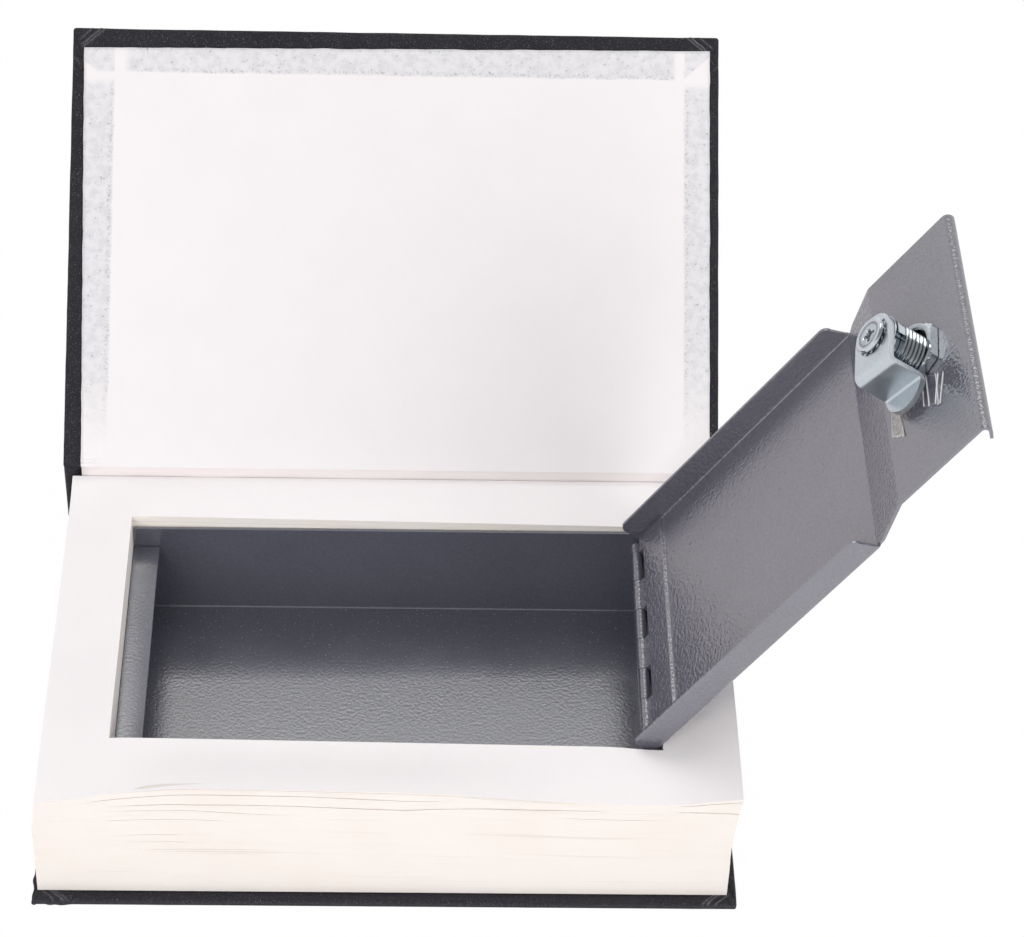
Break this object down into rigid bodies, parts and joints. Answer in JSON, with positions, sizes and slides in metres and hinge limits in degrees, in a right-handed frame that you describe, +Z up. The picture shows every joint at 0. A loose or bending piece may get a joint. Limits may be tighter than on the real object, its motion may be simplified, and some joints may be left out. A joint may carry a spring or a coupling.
{
  "type": "book diversion safe",
  "caption": "Hardback book whose pages are cut out round a grey steel box with a piano-hinged lid and a cam lock, shown with cover and lid open.",
  "frame": {"origin": "centre of the back cover's underside", "axes": "+X from head to tail of the book, towards the lid's hinge; +Y towards the spine; +Z up, the book lying on its back cover"},
  "size_m": [0.3075, 0.2899, 0.1957],
  "materials": {
    "cover_cloth": "black grained imitation leather",
    "greyboard": "matte grey board",
    "endpaper": "matte white paper",
    "pages": "matte cream page edges",
    "spine_lining": "gauze lining",
    "box_paint": "grey powder coat with a fine orange peel",
    "lid_paint": "grey powder coat with an orange peel",
    "zinc_plate": "bright zinc plate",
    "spring_steel": "spring wire",
    "brass": "machined brass"
  },
  "bodies": {
    "book": {"case_cloth": "cover_cloth", "back_board": "greyboard", "spine_board": "greyboard", "back_endpaper": "endpaper", "page_block": "pages", "spine_lining": "spine_lining", "front_joint_cloth": "cover_cloth", "steel_box": "box_paint", "latch_ledge": "box_paint", "box_hinge_leaf": "box_paint", "hinge_pin": "zinc_plate"},
    "front_cover": {"front_cloth": "cover_cloth", "front_board": "greyboard", "front_endpaper": "endpaper"},
    "lid": {"lid_panel": "lid_paint", "lid_hinge_leaf": "lid_paint", "lock_barrel": "zinc_plate", "lock_nut": "zinc_plate"},
    "key_plug": {"lock_plug": "zinc_plate", "wafer_1": "brass", "wafer_spring_1": "spring_steel", "wafer_2": "brass", "wafer_spring_2": "spring_steel", "wafer_3": "brass", "wafer_spring_3": "spring_steel", "wafer_4": "brass", "wafer_spring_4": "spring_steel", "wafer_5": "brass", "wafer_spring_5": "spring_steel", "stop_washer": "zinc_plate", "lock_cam": "zinc_plate", "cam_washer": "zinc_plate", "cam_screw": "zinc_plate"}
  },
  "joints": [
    {"name": "front_cover_hinge", "type": "hinge", "parent": "book", "child": "front_cover", "pos_m": [0, 0.0795, 0.052], "axis": [-1, 0, 0], "range_deg": [-54.8, 40.2], "deforming": ["front_joint_cloth"]},
    {"name": "lid_hinge", "type": "hinge", "parent": "book", "child": "lid", "pos_m": [0.08875, 0, 0.044], "axis": [0, -1, 0], "range_deg": [0, 124]},
    {"name": "cam_turn", "type": "hinge", "parent": "lid", "child": "key_plug", "pos_m": [0.17542, 0.0026, 0.1725], "axis": [-0.829, 0, 0.5592], "range_deg": [0, 90]}
  ]
}
